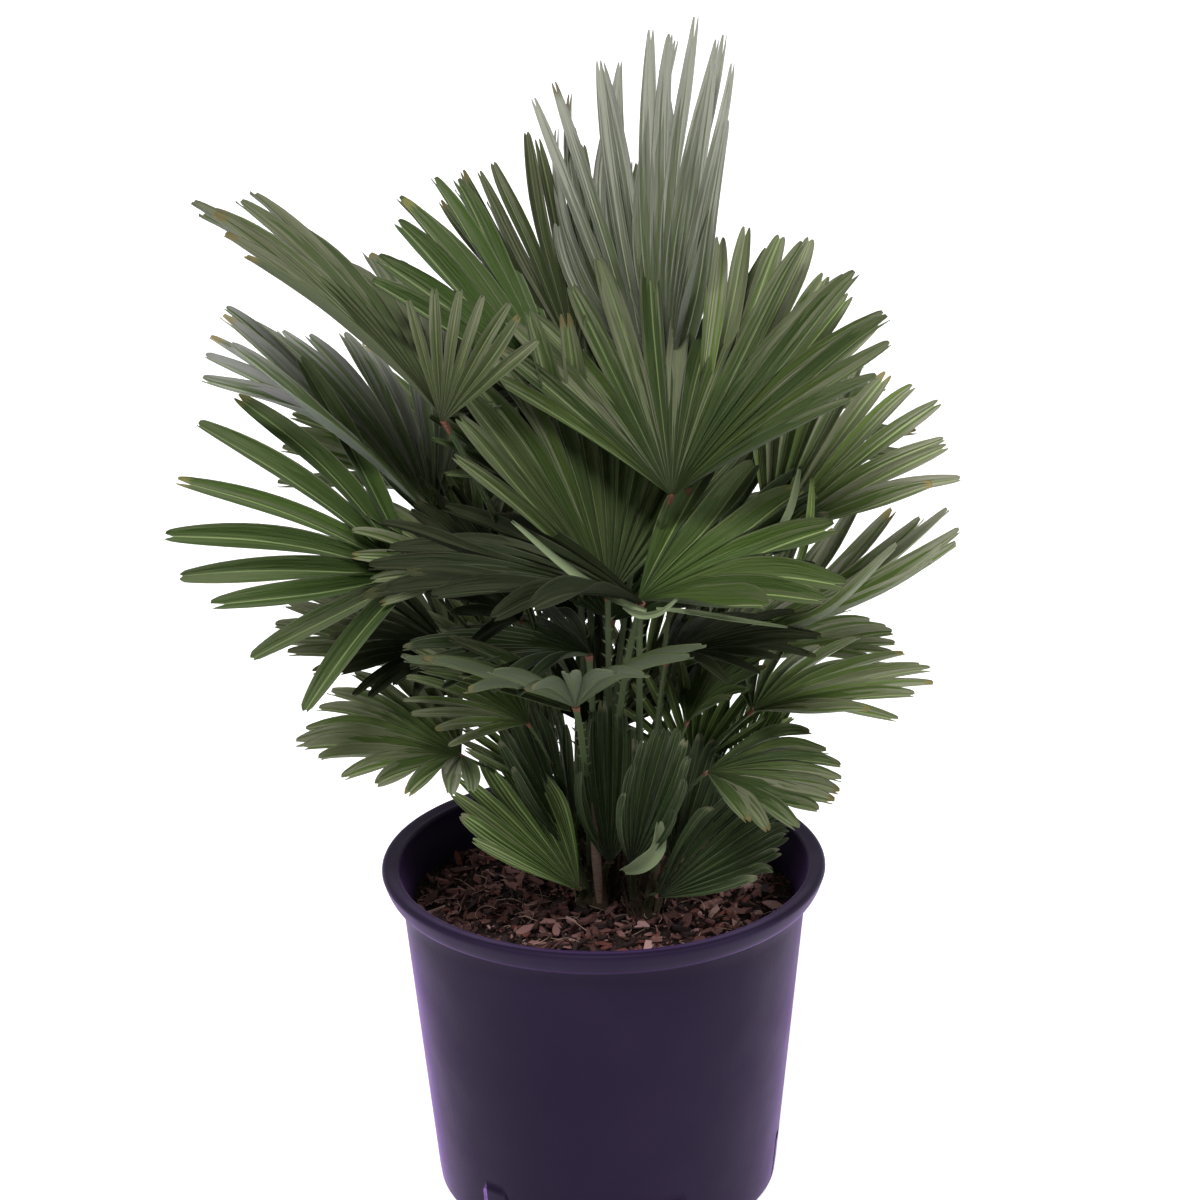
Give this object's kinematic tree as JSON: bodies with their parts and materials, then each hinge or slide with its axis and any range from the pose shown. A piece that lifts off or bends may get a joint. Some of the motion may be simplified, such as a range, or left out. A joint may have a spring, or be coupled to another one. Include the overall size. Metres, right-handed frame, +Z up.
{
  "type": "potted compacta european fan palm",
  "caption": "Compact clumping fan palm with stiff grey-green fan leaves on thin stalks, growing from short fibrous stems in a dark violet plastic nursery pot.",
  "frame": {"origin": "centre of the flat underside of the pot", "axes": "+Z up along the pot's axis, -Y towards the side that the picture shows, +X to its right"},
  "size_m": [0.5125, 0.5207, 0.7826],
  "materials": {
    "pot_plastic": "moulded dark violet polypropylene, satin, lightly scuffed",
    "potting_mix": "loose bark and fibre mix, dry and matt",
    "stem_fibre": "short stems wrapped in brown leaf bases and fibre, matt",
    "leaf_stalk": "grey-green stalks with a reddish foot and small teeth, satin",
    "fan_blade": "stiff pleated leaflets, grey-green with a pale midrib, satin",
    "young_leaf": "soft pleated young leaves, deep green, satin"
  },
  "bodies": {
    "root": {"pot": "pot_plastic", "soil": "potting_mix", "stem_main": "stem_fibre", "stem_right": "stem_fibre", "stem_back": "stem_fibre", "fan_top_right": "fan_blade", "stalk_top_right": "leaf_stalk", "fan_top_left": "fan_blade", "stalk_top_left": "leaf_stalk", "fan_crown_tall": "fan_blade", "stalk_crown_tall": "leaf_stalk", "fan_crown_behind": "fan_blade", "stalk_crown_behind": "leaf_stalk", "fan_crown_left": "fan_blade", "stalk_crown_left": "leaf_stalk", "fan_left_wide": "fan_blade", "stalk_left_wide": "leaf_stalk", "fan_left_high": "fan_blade", "stalk_left_high": "leaf_stalk", "fan_front_left": "fan_blade", "stalk_front_left": "leaf_stalk", "fan_front_right": "fan_blade", "stalk_front_right": "leaf_stalk", "fan_centre_left": "fan_blade", "stalk_centre_left": "leaf_stalk", "fan_right_high": "fan_blade", "stalk_right_high": "leaf_stalk", "fan_right_wide": "fan_blade", "stalk_right_wide": "leaf_stalk", "fan_right_low": "fan_blade", "stalk_right_low": "leaf_stalk", "fan_left_low": "fan_blade", "stalk_left_low": "leaf_stalk", "fan_front_centre": "fan_blade", "stalk_front_centre": "leaf_stalk", "fan_left_inner": "fan_blade", "stalk_left_inner": "leaf_stalk", "fan_back_right": "fan_blade", "stalk_back_right": "leaf_stalk", "fan_back_left": "fan_blade", "stalk_back_left": "leaf_stalk", "fan_back_middle": "fan_blade", "stalk_back_middle": "leaf_stalk", "fan_back_right_low": "fan_blade", "stalk_back_right_low": "leaf_stalk", "fan_back_left_low": "fan_blade", "stalk_back_left_low": "leaf_stalk", "fan_back_low": "fan_blade", "stalk_back_low": "leaf_stalk", "leaf_young_right": "young_leaf", "leaf_young_front_right": "young_leaf", "leaf_young_round": "young_leaf", "leaf_young_upright": "young_leaf", "leaf_young_left": "young_leaf", "leaf_young_far_right": "young_leaf", "leaf_young_right_inner": "young_leaf", "leaf_young_left_inner": "young_leaf", "leaf_young_back": "young_leaf", "leaf_young_back_right": "young_leaf"}
  },
  "joints": []
}
